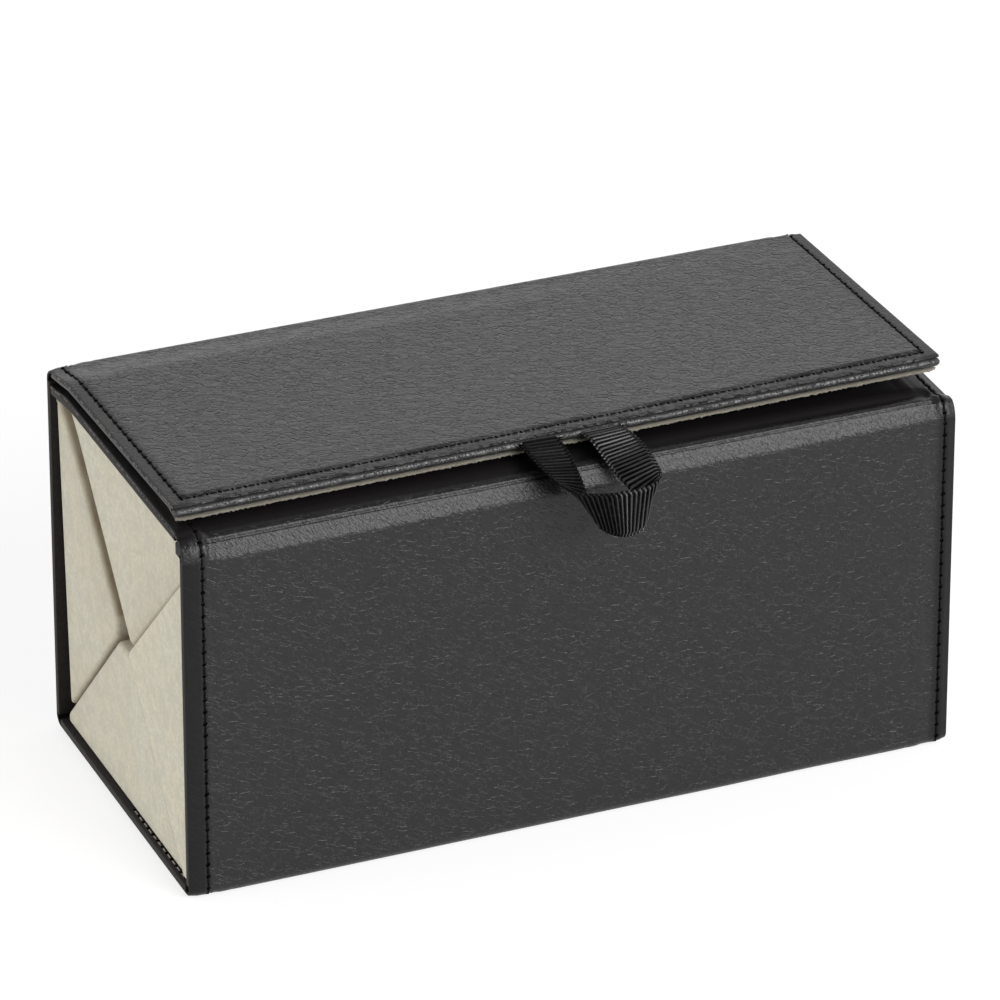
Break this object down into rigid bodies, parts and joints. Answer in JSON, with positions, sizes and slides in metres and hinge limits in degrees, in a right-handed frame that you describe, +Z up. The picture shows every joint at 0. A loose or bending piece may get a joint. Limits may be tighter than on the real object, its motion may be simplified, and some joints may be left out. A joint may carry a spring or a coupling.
{
  "type": "jewelry box",
  "caption": "Roll-up leather jewelry box with triangular suede trays that close into a block, a fold-over flap and a ribbon loop to open it.",
  "frame": {"origin": "centre of the whole box's outline on the surface it stands on (the ribbon loop in front counts)", "axes": "+X along the length to the right, -Y to the front where the ribbon is, +Z up"},
  "size_m": [0.23, 0.123, 0.117],
  "materials": {
    "leather": "black pebble-grain faux leather, satin",
    "inner_leather": "black smooth faux leather",
    "board": "grey stiffening board",
    "suede": "pale greige microsuede",
    "grosgrain": "black ribbed ribbon",
    "steel": "plain"
  },
  "bodies": {
    "case": {"bottom_leather": "leather", "bottom_board": "board", "bottom_liner": "inner_leather", "front_leather": "leather", "front_board": "board", "front_liner": "inner_leather", "inner_lid_leather": "leather", "inner_lid_board": "board", "inner_lid_liner": "inner_leather", "closure_plates": "steel", "front_bottom_fold": "leather", "front_top_fold": "leather", "back_bottom_fold": "leather", "top_tray_floor": "suede", "top_tray_wall": "suede", "top_tray_lip": "suede", "top_tray_left_end": "suede", "top_tray_right_end": "suede", "top_tray_divider_1": "suede", "top_tray_divider_2": "suede", "front_tray_floor": "suede", "front_tray_wall": "suede", "front_tray_lip": "suede", "front_tray_left_end": "suede", "front_tray_right_end": "suede", "front_tray_divider_1": "suede", "front_tray_divider_2": "suede", "bottom_tray_floor": "suede", "bottom_tray_wall": "suede", "bottom_tray_lip": "suede", "bottom_tray_left_end": "suede", "bottom_tray_right_end": "suede", "bottom_tray_divider_1": "suede", "bottom_tray_divider_2": "suede"},
    "back": {"back_leather": "leather", "back_board": "board", "back_liner": "inner_leather", "back_top_fold": "leather", "back_tray_floor": "suede", "back_tray_wall": "suede", "back_tray_lip": "suede", "back_tray_left_end": "suede", "back_tray_right_end": "suede", "back_tray_divider": "suede", "ring_roll_1": "suede", "ring_roll_2": "suede", "ring_roll_3": "suede", "ring_roll_4": "suede", "ring_roll_5": "suede", "ring_roll_6": "suede"},
    "flap": {"flap_leather": "leather", "flap_board": "board", "flap_lining": "suede", "flap_magnets": "steel", "ribbon_tails": "grosgrain"},
    "ribbon_loop": {"pull_ribbon": "grosgrain"}
  },
  "joints": [
    {"name": "back_hinge", "type": "hinge", "parent": "case", "child": "back", "pos_m": [0, 0.05995, 0.00155], "axis": [-1, 0, 0], "range_deg": [0, 90], "deforming": ["back_bottom_fold"]},
    {"name": "flap_hinge", "type": "hinge", "parent": "back", "child": "flap", "pos_m": [0, 0.05995, 0.11545], "axis": [-1, 0, 0], "range_deg": [0, 90], "deforming": ["back_top_fold"]},
    {"name": "ribbon_hinge", "type": "hinge", "parent": "flap", "child": "ribbon_loop", "pos_m": [0.0024, -0.0374, 0.11475], "axis": [-1, 0, 0], "range_deg": [0, 80]}
  ]
}
